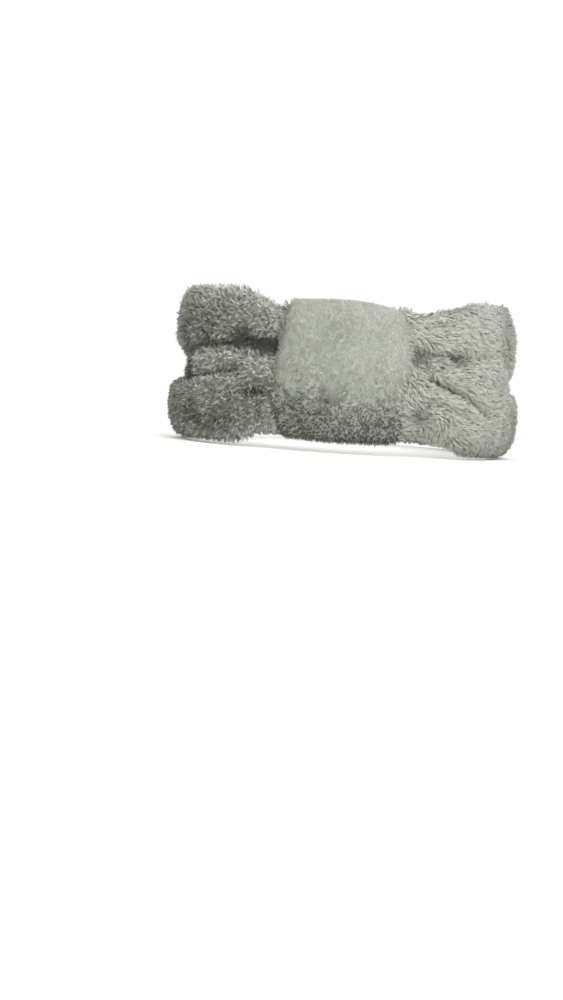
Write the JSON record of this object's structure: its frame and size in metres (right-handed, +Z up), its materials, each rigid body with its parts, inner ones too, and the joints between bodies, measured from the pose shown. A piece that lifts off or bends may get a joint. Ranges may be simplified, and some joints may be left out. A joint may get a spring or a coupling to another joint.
{
  "type": "spa headband",
  "caption": "Plush bow-shaped spa headband in its worn shape: a doubled fleece band pinched by a centre wrap, with a gathered elastic back, to hold hair off the face",
  "frame": {"origin": "on the surface the headband stands on, under the middle of its bounding box", "axes": "+X to the right as seen from the front, -Y out through the centre wrap, +Y out through the elastic back, +Z up, from the brow towards the crown"},
  "size_m": [0.172, 0.2062, 0.074],
  "materials": {
    "plush_face": "coral fleece of fine polyester pile, about 4 mm long, clumped and slightly curled",
    "plush_lining": "the same coral fleece, pressed flatter by the head",
    "plush_wrap": "coral fleece pulled tight, its pile brushed short and even",
    "plush_sleeve": "coral fleece gathered on its elastic",
    "woven_elastic": "flat woven elastic, ribbed along its length",
    "sewing_thread": "spun polyester sewing thread",
    "satin_label": "white woven satin label, blank"
  },
  "bodies": {
    "front": {"front_face_panel": "plush_face", "front_lining_panel": "plush_lining", "top_edge_seam": "sewing_thread", "bottom_edge_seam": "sewing_thread", "centre_wrap": "plush_wrap", "wrap_closing_stitch": "sewing_thread", "join_seam_left": "sewing_thread", "join_seam_right": "sewing_thread", "elastic_tack_left": "sewing_thread", "elastic_tack_right": "sewing_thread", "care_label": "satin_label"},
    "rear": {"rear_sleeve": "plush_sleeve", "rear_elastic": "woven_elastic", "sleeve_seam": "sewing_thread"}
  },
  "joints": [
    {"name": "rear_stretch", "type": "slide", "parent": "front", "child": "rear", "axis": [0, 1, 0], "range_m": [-0.025, 0.035], "stiffness_N_per_m": 160, "deforming": ["rear_sleeve", "rear_elastic", "sleeve_seam"]}
  ]
}
